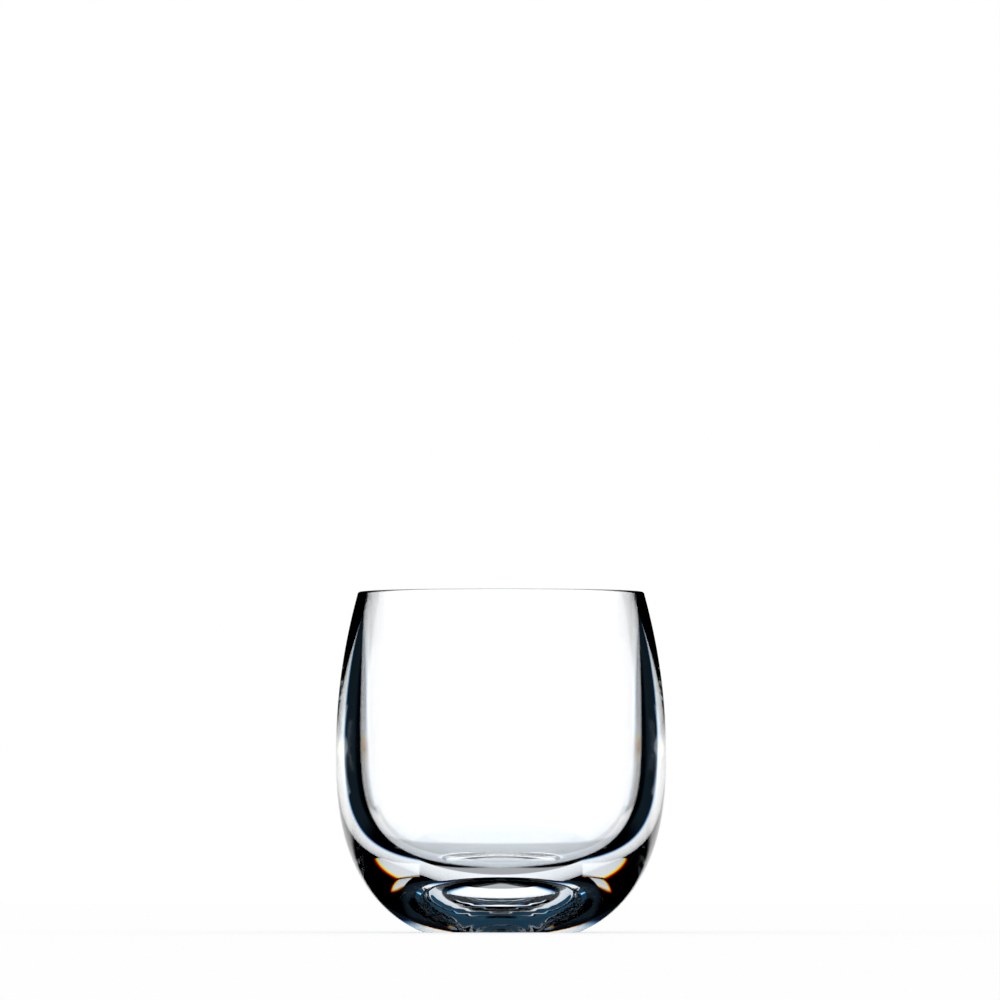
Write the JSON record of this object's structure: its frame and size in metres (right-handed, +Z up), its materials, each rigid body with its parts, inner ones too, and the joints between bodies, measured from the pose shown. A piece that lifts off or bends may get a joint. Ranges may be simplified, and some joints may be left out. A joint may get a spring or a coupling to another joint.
{
  "type": "plastic old fashioned glass",
  "caption": "Clear thick-walled plastic tumbler with a barrel-shaped outside, a deep round cavity, a heavy solid base and a recessed foot ring, for drinks served over ice.",
  "frame": {"origin": "centre of the plane that the foot ring rests on", "axes": "+Z up along the axis that the glass is round about, from the foot to the open rim; X and Y are alike"},
  "size_m": [0.0874, 0.0874, 0.09],
  "materials": {
    "clear_plastic": "polished water-clear moulding, no print and no tint"
  },
  "bodies": {
    "root": {"tumbler": "clear_plastic"}
  },
  "joints": []
}
